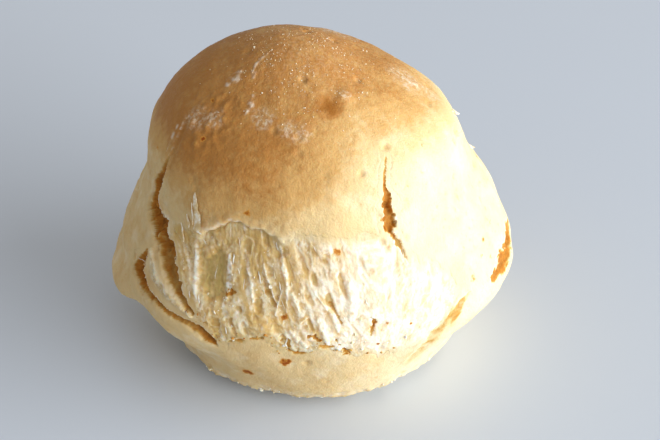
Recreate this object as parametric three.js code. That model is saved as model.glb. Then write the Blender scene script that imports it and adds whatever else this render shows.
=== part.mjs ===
// A yeast-raised breakfast biscuit: one baked piece with a flat foot, a pale base band, a torn side
// where the crumb burst open in the oven, and a smooth browned cap that leans a little to the left.
// Millimetres, +Z up. It stands on z = 0, with the origin under the middle of its box.
// A place on the side is an azimuth in degrees and a height: 0 is the torn front (-Y), 90 the right (+X).
import * as THREE from "three";
import { ImprovedNoise } from "three/addons/math/ImprovedNoise.js";

const { degToRad, euclideanModulo, lerp, smoothstep } = THREE.MathUtils;

// The rise of the dough. Each station has its shift to the right, the radius and height of its outline at
// the front, right, back and left, and the columns and rows of facets from it up to the next station.
const STATIONS = {
  foot: { shift: 2, front: [22, 0], right: [23, 0], back: [22, 0], left: [23, 0], columns: 64, rows: 2 },
  rim: { shift: 1.5, front: [28, 2.5], right: [28, 3], back: [28, 3], left: [28.5, 3], columns: 64, rows: 3 },
  band: {
    shift: 1.5, front: [31.5, 9], right: [32, 10], back: [32, 10], left: [30, 9.5], columns: 128, rows: 5,
  },
  waist: {
    shift: 1.5, front: [33.5, 17], right: [39.3, 19.5], back: [37.5, 18], left: [39.5, 15],
    columns: 128, rows: 8,
  },
  belly: {
    shift: 1, front: [34.5, 26], right: [37, 27.5], back: [36.5, 27], left: [37, 24], columns: 128, rows: 11,
  },
  brow: {
    shift: 0.5, front: [31, 38], right: [31, 38], back: [31.5, 38], left: [31, 37], columns: 128, rows: 8,
  },
  shoulder: {
    shift: -0.5, front: [26.5, 47.5], right: [28, 47], back: [27.5, 47.5], left: [28, 47.5],
    columns: 128, rows: 6,
  },
  crown: {
    shift: -3, front: [15, 57.5], right: [16.5, 57], back: [16.5, 57.5], left: [17.2, 57.5],
    columns: 64, rows: 5,
  },
  top: { shift: -4, front: [0, 63], right: [0, 63], back: [0, 63], left: [0, 63] },
};

// The facets stand closer at the front: this share of the columns is within this many degrees.
const FRONT_SHARE = 0.62;
const FRONT_SECTOR = 150;

// The skin swells in soft humps and finer dimples, each with its size and height.
const SWELLS = [{ size: 14, height: 0.7 }, { size: 6, height: 0.3 }];
// The swells and tears die out over this height above the flat foot.
const FOOT_FADE = 3;

// Where the crumb is torn open. The edge runs round it as degrees from its middle and heights, and its depth
// under the skin goes from the first value at its left end to the second at its right end.
const TEARS = [
  {
    middle: -8, depths: [2.6, 0.9],
    edge: [
      [-40, 36], [-29, 37.5], [-19, 41], [0, 40.5], [18, 40.5], [33, 38.5], [41, 34], [45, 25],
      [40, 18.5], [20, 18.5], [5, 18], [-10, 19.2], [-23, 17.5], [-30, 23], [-37, 30],
    ],
  },
  {
    middle: 178, depths: [1.4, 2],
    edge: [[-42, 26], [-26, 35], [0, 37], [24, 33], [40, 27], [30, 20], [0, 18.5], [-28, 20]],
  },
];
// The skin ends in a lip this wide, and a tear is measured on a cylinder of this radius.
const TEAR_LIP = 2.2;
const TEAR_RADIUS = 34;
// Strands of stretched crumb run up the tear, and sway and lean to the right, so far for each millimetre down.
const STRAND = { width: 3.4, length: 11, lean: 0.18, sway: 3, relief: 1.3, sharpness: 2.2 };

// Pits in the torn crumb, each with this share of flat floor. The first is the wide pocket under the cap.
const PIT_FLOOR = 0.35;
const PITS = [
  { azimuth: -28.5, height: 32.5, halfWidth: 3, halfHeight: 4.6, depth: 2.4 },
  { azimuth: 3.3, height: 30.3, halfWidth: 1.7, halfHeight: 2.6, depth: 1.8 },
  { azimuth: -14, height: 28.5, halfWidth: 1.6, halfHeight: 4, depth: 1.5 },
  { azimuth: 9.5, height: 33, halfWidth: 1.5, halfHeight: 3.2, depth: 1.3 },
  { azimuth: -25, height: 24.8, halfWidth: 1.8, halfHeight: 1.8, depth: 1.2 },
  { azimuth: 18.5, height: 25.5, halfWidth: 1.5, halfHeight: 3.5, depth: 1.3 },
  { azimuth: -6, height: 37, halfWidth: 1.6, halfHeight: 2.4, depth: 1.1 },
];

// Cracks and folds in the skin, as azimuth, height and half width along each. A crack is as deep as its
// half width times its steepness.
const CRACKS = {
  leftCrack: {
    steepness: 2.2,
    path: [[-57, 48, 0.6], [-61, 40, 1.3], [-62.5, 36.5, 1.7], [-50, 32.5, 1.8], [-43, 29, 1.6], [-36, 22, 1]],
  },
  leftFold: {
    steepness: 1.8,
    path: [[-59, 29, 0.9], [-61, 25, 1.9], [-50, 22, 1.7], [-40, 19.3, 2], [-31, 16.5, 1.2]],
  },
  rightCrack: {
    steepness: 1.6,
    path: [[35.5, 49, 0.5], [31.5, 44.3, 1.2], [29.5, 40.5, 1.3], [32.5, 34.7, 0.9]],
  },
  baseLip: {
    steepness: 1.1,
    path: [[-30, 16.8, 1.2], [-20, 19.2, 1], [-8, 18.4, 1.3], [6, 17.9, 0.9], [12, 17.8, 1.3], [33, 17.2, 1]],
  },
  rightSeam: {
    steepness: 0.8,
    path: [[35, 13.7, 0.9], [43, 20.9, 1.4], [52.5, 24.4, 1.2], [58, 26.8, 0.7]],
  },
  rightScar: {
    steepness: 0.8,
    path: [[61, 24, 0.8], [69, 24.6, 1.5], [81, 25.4, 0.9], [96, 23, 1]],
  },
  capDimple: {
    steepness: 0.4,
    path: [[31, 57.4, 2.4], [35, 57.4, 2.6]],
  },
  shoulderCrease: {
    steepness: 0.4,
    path: [[-57, 48, 1.4], [-52, 52.5, 1.9], [-42, 55.5, 1.3]],
  },
  backCrack: {
    steepness: 1.6,
    path: [[118, 45, 0.7], [124, 37, 1.9], [136, 29, 1.6], [141, 22, 1]],
  },
  backLip: {
    steepness: 1,
    path: [[138, 20, 1], [160, 18.5, 1.8], [190, 18, 1.6], [215, 21, 1.2], [232, 25, 0.9]],
  },
};

// Points along each crack and round each tear, and halvings in the search for a height.
const CRACK_SAMPLES = 60;
const EDGE_SAMPLES = 90;
const HALVINGS = 24;

function profile(side) {
  const points = Object.values(STATIONS).map(
    (station) => new THREE.Vector3(station[side][0], station.shift, station[side][1]),
  );
  const crown = points[points.length - 2];
  points.push(new THREE.Vector3(-crown.x, crown.y, crown.z)); // past the top, so that it is round there
  return new THREE.CatmullRomCurve3(points);
}
const FRONT = profile("front");
const RIGHT = profile("right");
const BACK = profile("back");
const LEFT = profile("left");
const SPANS = Object.keys(STATIONS).length;
const TOP = (SPANS - 1) / SPANS;

// A point of the smooth dough, at an azimuth and at a fraction of the way along the profile.
function doughPoint(azimuth, along) {
  const angle = degToRad(azimuth);
  const side = Math.sin(angle) > 0 ? RIGHT : LEFT;
  const end = Math.cos(angle) > 0 ? FRONT : BACK;
  const outline = side.getPoint(along).lerp(end.getPoint(along), Math.cos(angle) ** 2);
  const radius = Math.max(0, outline.x);
  return new THREE.Vector3(outline.y + radius * Math.sin(angle), -radius * Math.cos(angle), outline.z);
}

function doughNormal(azimuth, along) {
  const step = 0.004;
  const sideways = doughPoint(azimuth + 1, along).sub(doughPoint(azimuth - 1, along));
  const up = doughPoint(azimuth, along + step).sub(doughPoint(azimuth, Math.max(0, along - step)));
  return sideways.cross(up).normalize();
}

// The point of the smooth dough at a height, found by halving.
function doughAtHeight(azimuth, height) {
  let low = 0;
  let high = TOP;
  for (let i = 0; i < HALVINGS; i++) {
    const half = (low + high) / 2;
    if (doughPoint(azimuth, half).z < height) low = half;
    else high = half;
  }
  return doughPoint(azimuth, low);
}

const NOISE = new ImprovedNoise();

function swell(point) {
  return SWELLS.reduce((sum, { size, height }) => {
    return sum + height * NOISE.noise(point.x / size, point.y / size, point.z / size);
  }, 0);
}

// Millimetres round the side from one azimuth to another, the short way.
function across(from, to) {
  return TEAR_RADIUS * degToRad(euclideanModulo(to - from + 180, 360) - 180);
}

const TEAR_EDGES = TEARS.map(({ edge }) => {
  const corners = edge.map(([degrees, height]) => new THREE.Vector3(across(0, degrees), height, 0));
  return new THREE.CatmullRomCurve3(corners, true).getPoints(EDGE_SAMPLES);
});

// How far a place lies inside a closed edge. It is negative outside.
function insideEdge(place, edge) {
  let inside = false;
  let nearest = Infinity;
  const closest = new THREE.Vector3();
  for (let i = 1; i < edge.length; i++) {
    const [a, b] = [edge[i - 1], edge[i]];
    new THREE.Line3(a, b).closestPointToPoint(place, true, closest);
    nearest = Math.min(nearest, closest.distanceTo(place));
    if (a.y > place.y !== b.y > place.y && place.x < a.x + ((place.y - a.y) / (b.y - a.y)) * (b.x - a.x)) {
      inside = !inside;
    }
  }
  return inside ? nearest : -nearest;
}

function tearDepth(azimuth, height) {
  let depth = 0;
  TEARS.forEach(({ middle, depths }, index) => {
    const edge = TEAR_EDGES[index];
    const place = new THREE.Vector3(across(middle, azimuth), height, 0);
    const inside = insideEdge(place, edge);
    if (inside <= 0) return;
    const edgeX = edge.map((point) => point.x);
    const rightward = smoothstep(place.x, Math.min(...edgeX), Math.max(...edgeX));
    const sway = STRAND.sway * NOISE.noise(place.x / STRAND.length, height / STRAND.length, 0.5);
    const strand = (place.x + STRAND.lean * height + sway) / STRAND.width;
    const furrow = STRAND.sharpness * Math.abs(NOISE.noise(strand, height / STRAND.length, middle));
    const floor = lerp(depths[0], depths[1], rightward);
    depth += smoothstep(inside, 0, TEAR_LIP) * (floor + STRAND.relief * (Math.min(1, furrow) - 0.5));
  });
  return depth;
}

function pitDepth(azimuth, height) {
  return PITS.reduce((sum, pit) => {
    const sideways = (across(pit.azimuth, azimuth) + STRAND.lean * (height - pit.height)) / pit.halfWidth;
    const upward = (height - pit.height) / pit.halfHeight;
    return sum + pit.depth * (1 - smoothstep(Math.hypot(sideways, upward), PIT_FLOOR, 1));
  }, 0);
}

const CRACK_POINTS = Object.values(CRACKS).flatMap(({ path, steepness }) => {
  const places = new THREE.CatmullRomCurve3(path.map((stop) => new THREE.Vector3(...stop)));
  return places.getPoints(CRACK_SAMPLES).map(({ x: azimuth, y: height, z: halfWidth }) => {
    return { point: doughAtHeight(azimuth, height), halfWidth, depth: steepness * halfWidth };
  });
});

function crackDepth(point) {
  return CRACK_POINTS.reduce((deepest, crack) => {
    const away = point.distanceTo(crack.point) / crack.halfWidth;
    return away < 1 ? Math.max(deepest, crack.depth * (1 - away ** 2)) : deepest;
  }, 0);
}

// A point of the baked surface: the smooth dough with its swells, tears, pits and cracks.
function crustPoint(azimuth, along) {
  const point = doughPoint(azimuth, along);
  const hollow = tearDepth(azimuth, point.z) + pitDepth(azimuth, point.z) + crackDepth(point);
  const relief = (swell(point) - hollow) * smoothstep(point.z, 0, FOOT_FADE);
  return point.addScaledVector(doughNormal(azimuth, along), relief);
}

// The azimuth of a column, from its share of the way round. The first is at the back.
function columnAzimuth(share) {
  const fromFront = share - 0.5;
  const past = Math.abs(fromFront) - FRONT_SHARE / 2;
  if (past < 0) return (fromFront / FRONT_SHARE) * FRONT_SECTOR;
  return Math.sign(fromFront) * (FRONT_SECTOR / 2 + (past / (1 - FRONT_SHARE)) * (360 - FRONT_SECTOR));
}

const positions = [];
const triangles = [];

function addPoint(point) {
  positions.push(...point);
  return positions.length / 3 - 1;
}

function addRing(columns, along) {
  return Array.from({ length: columns }, (_, k) => addPoint(crustPoint(columnAzimuth(k / columns), along)));
}

// A strip of triangles between two rings, which steps along whichever ring is behind.
function joinRings(lower, upper) {
  let i = 0;
  let j = 0;
  while (i < lower.length || j < upper.length) {
    const a = lower[i % lower.length];
    const b = upper[j % upper.length];
    if ((i + 1) / lower.length <= (j + 1) / upper.length) {
      i += 1;
      triangles.push(a, lower[i % lower.length], b);
    } else {
      j += 1;
      triangles.push(a, upper[j % upper.length], b);
    }
  }
}

function closeRing(ring, point, upward) {
  const centre = addPoint(point);
  ring.forEach((corner, k) => {
    const next = ring[(k + 1) % ring.length];
    triangles.push(centre, upward ? corner : next, upward ? next : corner);
  });
}

const rings = Object.values(STATIONS).slice(0, -1).flatMap(({ columns, rows }, index) => {
  return Array.from({ length: rows }, (_, row) => addRing(columns, (index + row / rows) / SPANS));
});
rings.slice(1).forEach((ring, k) => joinRings(rings[k], ring));
closeRing(rings[0], new THREE.Vector3(STATIONS.foot.shift, 0, 0), false);
closeRing(rings[rings.length - 1], doughPoint(0, TOP), true);

const crust = new THREE.BufferGeometry();
crust.setAttribute("position", new THREE.Float32BufferAttribute(positions, 3));
crust.setIndex(triangles);
crust.computeVertexNormals();
crust.computeBoundingBox();
const boxCentre = crust.boundingBox.getCenter(new THREE.Vector3());
crust.translate(-boxCentre.x, -boxCentre.y, -crust.boundingBox.min.z);

const biscuit = new THREE.Mesh(crust, new THREE.MeshStandardMaterial({ color: 0xd9b37c, roughness: 0.8 }));
biscuit.name = "biscuit";
const group = new THREE.Group();
group.add(biscuit);

export default group;
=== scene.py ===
import math
from types import SimpleNamespace

import bpy
import numpy as np
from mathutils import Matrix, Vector, noise
from mathutils.bvhtree import BVHTree


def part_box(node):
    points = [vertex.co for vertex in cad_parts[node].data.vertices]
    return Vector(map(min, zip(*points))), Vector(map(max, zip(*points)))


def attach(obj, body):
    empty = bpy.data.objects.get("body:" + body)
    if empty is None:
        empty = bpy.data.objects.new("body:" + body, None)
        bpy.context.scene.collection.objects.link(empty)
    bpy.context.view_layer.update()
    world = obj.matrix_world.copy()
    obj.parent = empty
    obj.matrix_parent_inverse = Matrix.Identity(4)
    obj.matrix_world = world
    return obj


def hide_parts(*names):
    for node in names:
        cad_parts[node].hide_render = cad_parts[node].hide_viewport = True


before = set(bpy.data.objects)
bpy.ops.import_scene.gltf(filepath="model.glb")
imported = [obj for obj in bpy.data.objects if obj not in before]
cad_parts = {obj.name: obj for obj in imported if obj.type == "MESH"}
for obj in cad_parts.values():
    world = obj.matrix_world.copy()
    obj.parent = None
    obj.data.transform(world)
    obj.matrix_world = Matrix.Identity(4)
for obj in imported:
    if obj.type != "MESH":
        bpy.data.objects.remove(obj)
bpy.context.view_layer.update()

# The dough
# A round of yeast dough that rose in the oven until its side burst. A thin skin is baked round an open
# crumb, over a flat foot from the tray. Sizes are millimetres, and a place on the side is an azimuth in
# degrees (0 is the torn front, 90 the right) and a height.
MM = 0.001
SHIFT = (2, 1.5, 1.5, 1.5, 1, 0.5, -0.5, -3, -4)
RISE = {
    "front": ((22, 0), (28, 2.5), (31.5, 9), (33.5, 17), (34.5, 26), (31, 38), (26.5, 47.5), (15, 57.5)),
    "right": ((23, 0), (28, 3), (32, 10), (39.3, 19.5), (37, 27.5), (31, 38), (28, 47), (16.5, 57)),
    "back": ((22, 0), (28, 3), (32, 10), (37.5, 18), (36.5, 27), (31.5, 38), (27.5, 47.5), (16.5, 57.5)),
    "left": ((23, 0), (28.5, 3), (30, 9.5), (39.5, 15), (37, 24), (31, 37), (28, 47.5), (17.2, 57.5)),
}
APEX = (0, 63)
TOP = 8 / 9
RISE_STEPS = 400


def curve(points, places, closed=False):
    """Points at places from 0 to 1 along a centripetal Catmull-Rom curve."""
    points = np.asarray(points, float)
    if closed:
        points = np.vstack([points[-1], points, points[:2]])
    else:
        points = np.vstack([2 * points[0] - points[1], points, 2 * points[-1] - points[-2]])
    spans = len(points) - 3
    place = np.clip(np.asarray(places) * spans, 0, spans - 1e-6)
    start = place.astype(int)
    w = (place - start)[:, None]
    p0, p1, p2, p3 = (points[start + k] for k in range(4))
    steps = ((p0, p1), (p1, p2), (p2, p3))
    d0, d1, d2 = (np.linalg.norm(b - a, axis=1, keepdims=True) ** 0.5 for a, b in steps)
    m1 = ((p1 - p0) / d0 - (p2 - p0) / (d0 + d1) + (p2 - p1) / d1) * d1
    m2 = ((p2 - p1) / d1 - (p3 - p1) / (d1 + d2) + (p3 - p2) / d2) * d1
    return p1 + w * (m1 + w * (3 * (p2 - p1) - 2 * m1 - m2 + w * (2 * (p1 - p2) + m1 + m2)))


def dough(azimuth, along):
    """Points of the smooth dough at azimuths and at fractions of the way up its outline."""
    sides = {}
    for name, stations in RISE.items():
        outline = [(radius, shift, height) for (radius, height), shift in zip((*stations, APEX), SHIFT)]
        radius, shift, height = outline[-2]
        sides[name] = curve(outline + [(-radius, shift, height)], along)
    angle = np.radians(azimuth)[:, None]
    side = np.where(np.sin(angle) > 0, sides["right"], sides["left"])
    end = np.where(np.cos(angle) > 0, sides["front"], sides["back"])
    radius, shift, height = (side + (end - side) * np.cos(angle) ** 2).T
    angle = angle[:, 0]
    return np.stack([shift + radius * np.sin(angle), -radius * np.cos(angle), height], 1)


def along_at(azimuths, heights):
    """Fractions of the way up the outline at azimuths and heights."""
    along = np.linspace(0, TOP, RISE_STEPS)
    rises = (dough(np.full(RISE_STEPS, float(azimuth)), along)[:, 2] for azimuth in azimuths)
    return np.array([np.interp(height, rise, along) for height, rise in zip(heights, rises)])


def dough_at(azimuths, heights):
    """Points of the smooth dough at azimuths and heights."""
    return dough(np.asarray(azimuths, float), along_at(azimuths, heights))


def on_dough(azimuth, along):
    """Places on the smooth dough, with the ways out of it, round it and up it."""
    at = SimpleNamespace(azimuth=azimuth, surface=dough(azimuth, along))
    at.sideways = dough(azimuth + 0.2, along) - dough(azimuth - 0.2, along)
    at.upward = dough(azimuth, along + 0.0005) - dough(azimuth, along - 0.0005)
    at.outward = np.cross(at.sideways, at.upward)
    for way in (at.sideways, at.upward, at.outward):
        way /= np.linalg.norm(way, axis=1, keepdims=True)
    at.height = at.surface[:, 2]
    return at


def smooth(value, low, high):
    """Goes from 0 at low to 1 at high, with soft ends."""
    x = np.clip((value - low) / (high - low), 0, 1)
    return x * x * (3 - 2 * x)


def bump(value, middle, width):
    """A soft bump of height 1 round a middle."""
    return np.exp(-((value - middle) / width) ** 2)


def lift_to(values, near, least):
    """Raises values at some places to at least these."""
    values[near] = np.maximum(values[near], least)


def humps(points, size, seed=0.0):
    """Smooth noise from -1 to 1, with humps about this size."""
    return np.array([noise.noise(place) for place in (points / size + seed).tolist()])


# Where the side tore open, the skin ends in a lip. It is sharp at the upper left and along the sill below,
# and soft at the right. The strands of crumb lean right going down, and left at the right crack.
TEAR_RADIUS = 34
EDGE_STEPS = 150
RAGGED = ((0.7, 3.2, 11), (0.5, 1.2, 5), (0.3, 0.6, 2))
LEAN_AZIMUTHS = (-60, -48, -40, -30, 5, 18, 26, 40, 60)
LEANS = (0.9, 0.7, 0.4, 0.12, 0.28, 0.2, -0.3, -0.15, 0)
TEARS = {
    "front": {
        "middle": -8, "fade": 1, "depths": (1.05, 0.5),
        "lip_starts": (0.02, 0.07), "lip_ends": (0.2, 0.62), "lip_heights": (33, 38),
        "sill_ends": (0.6, 0.85), "sill_heights": (22, 25), "slab": (-72, 55, 12.5, 51.5), "edge": (
            (-50.5, 36), (-44, 37.2), (-37, 37.8), (-31, 40), (-24, 41.3), (-16, 40.2), (0, 40.6),
            (25, 39.7), (34, 36), (46, 29), (50, 24.5), (43, 20.5), (34, 16), (24, 15.4), (17.6, 15.6),
            (11.5, 17), (8.2, 18.4), (2.3, 19.4), (-3.8, 18), (-8.5, 17.5), (-12, 19.4), (-15.2, 21.2),
            (-19.4, 20.3), (-24.9, 19), (-30, 17.6), (-34, 21), (-36, 23.7), (-38.5, 26), (-41.5, 28.2),
            (-44.5, 30.5), (-47.5, 33.3),
        )},
    "back": {
        "middle": 178, "fade": 0.4, "depths": (1.8, 1.4),
        "lip_starts": (0.02, 0.1), "lip_ends": (0.3, 0.7), "lip_heights": (30, 34),
        "sill_ends": (0.6, 0.85), "sill_heights": (19.5, 23), "slab": (108, 232, 13.5, 48), "edge": (
            (136, 26), (142, 30.5), (150, 34.4), (160, 35), (168, 37.4), (178, 36.2), (190, 34.8),
            (202, 32), (212, 29.8), (219, 26), (214, 22.4), (205, 20.6), (196, 21), (186, 18.3),
            (176, 19.4), (166, 18), (157, 19.8), (148, 19.2), (140, 22),
        )},
}


def round_to(middle, degrees):
    """Millimetres round the side from the middle to the azimuths, the short way."""
    return TEAR_RADIUS * np.radians((degrees - middle + 180) % 360 - 180)


def tear_edge(tear):
    """The edge of a tear as millimetres round the side from its middle, and heights."""
    corners = np.array(tear["edge"], float)
    corners[:, 0] = round_to(tear["middle"], corners[:, 0])
    return curve(corners, np.arange(EDGE_STEPS) / EDGE_STEPS, closed=True)


def inside(x, y, edge):
    """How far places lie inside a closed edge. It is negative outside."""
    nearest = np.full(len(x), np.inf)
    odd = np.zeros(len(x), bool)
    for (ax, ay), (bx, by) in zip(edge, np.roll(edge, -1, 0)):
        t = ((x - ax) * (bx - ax) + (y - ay) * (by - ay)) / ((bx - ax) ** 2 + (by - ay) ** 2)
        t = np.clip(t, 0, 1)
        nearest = np.minimum(nearest, np.hypot(x - ax - t * (bx - ax), y - ay - t * (by - ay)))
        odd ^= ((ay > y) != (by > y)) & (x < ax + (y - ay) / (by - ay + 1e-9) * (bx - ax))
    return np.where(odd, nearest, -nearest)


def mark_tears(at):
    """Marks how far inside a tear places lie, how soft its edge is there, and how deep the crumb lies."""
    count = len(at.azimuth)
    lean = np.interp(at.azimuth, LEAN_AZIMUTHS, LEANS, left=0.2, right=0.2)
    at.grain = at.upward - lean[:, None] * at.sideways
    at.strand = np.stack([round_to(0, at.azimuth) + lean * (at.height - 28), at.height, np.zeros(count)], 1)
    at.ragged = sum(share * humps(at.surface, size, seed) for share, size, seed in RAGGED)
    at.frayed = humps(at.surface, 0.55, 61)
    fingers = humps(at.strand * (1, 0.22, 1), 1.3, 7) + 1.6 * humps(at.strand * (1, 0.35, 1), 4.5, 3)
    at.within = np.full(count, -np.inf)
    at.sharp, at.firm, at.rightward, at.depth = np.zeros((4, count))
    for tear in TEARS.values():
        edge = tear_edge(tear)
        x = round_to(tear["middle"], at.azimuth)
        rightward = smooth(x, edge[:, 0].min(), edge[:, 0].max())
        within = inside(x, at.height, edge) + 0.8 * at.ragged + fingers * (0.2 + 1.2 * rightward)
        lip = smooth(rightward, *tear["lip_starts"]) * (1 - smooth(rightward, *tear["lip_ends"]))
        lip *= smooth(at.height, *tear["lip_heights"])
        side = 1 - smooth(rightward, 0.04, 0.16)
        sill = (1 - smooth(rightward, *tear["sill_ends"])) * (1 - smooth(at.height, *tear["sill_heights"]))
        within += sill * (1.1 * humps(at.surface, 2.1, 29) + 0.6 * humps(at.surface, 0.9, 19))
        left_depth, right_depth = tear["depths"]
        here = within > at.within
        at.within[here] = within[here]
        at.sharp[here] = lip[here]
        at.firm[here] = np.maximum(lip, np.maximum(0.6 * sill, 0.8 * side))[here]
        at.rightward[here] = tear["fade"] * rightward[here]
        depth = left_depth + (right_depth - left_depth) * rightward
        depth *= 0.3 + 0.7 * smooth(at.height, 19, 27)
        at.depth[here] = depth[here]
    soft = 1 - at.firm
    at.open = at.depth * smooth(at.within + 1.2 * at.sharp, 0, 0.6 + 6 * (1 - at.sharp))
    at.torn = smooth(at.within, 0, 0.4 + 2 * soft)
    at.fibrous = smooth(at.within, 0, 0.5 + 2 * soft) * (1 - 0.55 * at.rightward)
    at.margin = np.maximum(at.within, 0) * MM
    # A pale line along the sharp lip: partly the torn skin's own pale edge, partly a painted highlight.
    at.lip = 0.6 * bump(at.within, -0.2, 0.35) * at.sharp
    # Painted shade under the sharp lip, and a golden tone high on the left of the tear.
    painted_shade_under_lip = np.exp(-np.abs(at.within) / 2.2) * at.sharp
    golden = 0.8 * smooth(at.height, 27, 36) * (1 - smooth(at.rightward, 0.42, 0.7))
    at.recess = np.maximum(painted_shade_under_lip, golden) * at.torn


# Cracks and folds as azimuth, height, half width and brownness along each. The edge on the right of the way
# is steep. On the other side the floor is flat at first, and slope says how far that side reaches. Depth is
# in half widths. Cover is how far beyond a crack the fine slab of crumb behind it stands in for the skin.
# The deep floor of each crack is darkened with painted shade, more in some cracks than in others.
CRACKS = {
    "left crack": {
        "depth": 1.2, "flat": 0.4, "slope": 1.3, "ragged": 0.9, "frayed": 0.12, "cover": 1.6, "stops": (
            (-58, 47, 0.3, 0.6), (-60.5, 43.5, 0.7, 0.9), (-65, 39, 1.5, 1.25), (-63.5, 36, 2, 1.25),
            (-55.5, 33.8, 2.1, 1.1), (-49, 30, 1.9, 0.75), (-42.5, 26.2, 1.3, 0.7), (-36.5, 22.8, 0.5, 0.5),
        )},
    "left fold": {
        "depth": 1.35, "flat": 0.3, "slope": 1.6, "ragged": 0.9, "frayed": 0.12, "cover": 2, "stops": (
            (-59.5, 29, 0.3, 0.8), (-60, 26.8, 0.9, 1.1), (-61.5, 24.4, 1.7, 1.25), (-56, 22.8, 1.4, 0.95),
            (-50, 21.6, 0.75, 0.8), (-46, 20.9, 0.55, 0.75), (-39, 20.4, 0.75, 0.8), (-34, 19.4, 1.1, 0.9),
            (-30.3, 17.6, 0.7, 1),
        )},
    "left crease": {
        "depth": 0.5, "slope": 2.2, "brink": 0.2, "ragged": 0.5, "stops": (
            (-57.8, 46, 0.5, 0), (-56.4, 48, 0.6, 0), (-55.9, 50.1, 0.7, 0), (-56, 52.8, 0.6, 0),
            (-54.7, 54.6, 0.3, 0),
        )},
    "right crack": {
        "depth": 1, "slope": 1.3, "ragged": 1.7, "frayed": 0.6, "painted_shade": 0.3, "cover": 1.2, "stops": (
            (37.9, 50, 0.18, 0.6), (33.3, 47.9, 0.2, 0.8), (31.1, 46.2, 0.24, 0.9), (31, 44.6, 0.75, 1.1),
            (30.3, 43.4, 1.2, 1.2), (29, 41.8, 1, 1.1), (28.4, 40.1, 0.9, 1.1), (28.9, 38.5, 0.55, 0.8),
            (30.6, 36.5, 0.5, 0.6), (31.3, 35, 0.35, 0.5), (32.2, 33.2, 0.15, 0.3),
        )},
    "right seam": {
        "depth": 0.25, "slope": 1.9, "brink": 0, "ragged": 0.7, "stops": (
            (32.6, 11.2, 0.9, 0.12), (35, 13.7, 1.3, 0.24), (38, 17, 1.5, 0.3), (41.6, 19.5, 1.4, 0.34),
            (45, 20.9, 1.3, 0.62), (47.4, 22.3, 0.8, 0.5), (51, 23.4, 0.5, 0.2),
        )},
    "right scar": {
        "depth": 0.45, "slope": 1.3, "brink": 0.4, "ragged": 1, "frayed": 0.6, "painted_shade": 0.8, "stops": (
            (62, 22.4, 0.7, 1), (64, 22.7, 1.3, 1.25), (67.5, 23, 1.9, 1.25), (72.5, 23.4, 2.2, 1.2),
            (78, 23.8, 2.3, 1.15), (84, 24.2, 2, 1), (89, 24.6, 0.8, 0.6),
        )},
    "back crack": {
        "depth": 1.1, "slope": 1.5, "ragged": 0.7, "cover": 1.6, "stops": (
            (119, 44, 0.25, 0.6), (121, 41, 0.6, 0.8), (124, 37, 1.4, 1.1), (130, 33.5, 1.6, 1.1),
            (134.5, 29.5, 1.2, 0.9), (137, 25.5, 0.9, 0.7), (140, 21.5, 0.3, 0.5),
        )},
    "side crease": {
        "depth": 0.6, "slope": 2.4, "brink": 0.2, "ragged": 0.6, "stops": (
            (-84, 33, 0.3, 0), (-92, 31.2, 0.6, 0.06), (-103, 30.6, 0.7, 0.1), (-116, 28.4, 0.6, 0.06),
            (-126, 27, 0.3, 0),
        )},
}

# Short brown crevices along the sill and in the crumb.
CREVICE = {"depth": 0.8, "slope": 1.3, "brink": 0.4, "ragged": 3, "frayed": 0.8, "painted_shade": 0.5}
CREVICES = (
    ((-25.6, 18.8, 0.3, 0.6), (-21, 19.8, 0.4, 0.7)), ((-18.4, 20.6, 0.3, 0.6), (-15, 20.9, 0.4, 0.6)),
    ((-8.4, 21.4, 0.4, 0.3), (-7.6, 20.4, 0.5, 0.5), (-6.7, 19.3, 0.5, 0.6)),
    ((-7.2, 18.4, 0.4, 0.8), (-5, 17.9, 0.6, 1), (-3.2, 17.8, 0.4, 0.8)),
    ((-0.9, 22, 0.35, 0.9), (1, 22, 0.55, 1.1), (2.3, 21.2, 0.4, 0.9)),
    ((2, 19.8, 0.35, 0.6), (5.6, 19.4, 0.4, 0.7)),
    ((7, 20.8, 0.4, 0.7), (9, 18.9, 0.6, 1), (11.8, 17, 0.7, 1.2)),
    ((17.9, 25.2, 0.35, 0.6), (18.4, 24, 0.5, 0.9), (17.6, 21.4, 0.25, 0.5)),
    ((-25.8, 28.4, 0.35, 0.9), (-24.2, 28.8, 0.5, 1)), ((-12.6, 30.2, 0.3, 0.4), (-10.3, 27.8, 0.35, 0.5)),
    ((6.4, 28.6, 0.35, 0.4), (9.2, 24.6, 0.3, 0.5)),
    ((143, 20.6, 0.25, 0.3), (147, 19.6, 0.45, 0.5), (151, 19.6, 0.25, 0.3)),
    ((184, 18.8, 0.25, 0.4), (188, 18.4, 0.5, 0.6)), ((207, 20.8, 0.25, 0.3), (212, 22, 0.35, 0.4)),
)

# The torn strip that still stands between the two left cracks.
PATH_STEPS = 90
STRIP = ((-57, 29.8, 0.6), (-52, 26.3, 1.1), (-47.5, 25, 1.3), (-42.5, 23.9, 1.1), (-37, 22.3, 0.6))


def beside(at, stops):
    """The places near a path, how far off and right of it they are in half widths, and its values there."""
    path = curve(stops, np.linspace(0, 1, PATH_STEPS))
    line = dough_at(path[:, 0], path[:, 1])
    reach = 3 * path[:, 2].max() + 1
    near = np.flatnonzero(((at.surface > line.min(0) - reach) & (at.surface < line.max(0) + reach)).all(1))
    gap = at.surface[near, None] - line
    nearest = np.linalg.norm(gap, axis=2).argmin(1)
    gap = gap[np.arange(len(near)), nearest]
    right = np.cross(at.outward[near], np.gradient(line, axis=0)[nearest])
    right /= np.linalg.norm(right, axis=1, keepdims=True)
    half_width = path[nearest, 2]
    values = path[nearest, 2:].T
    return near, np.linalg.norm(gap, axis=1) / half_width, (gap * right).sum(1) / half_width, *values


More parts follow.
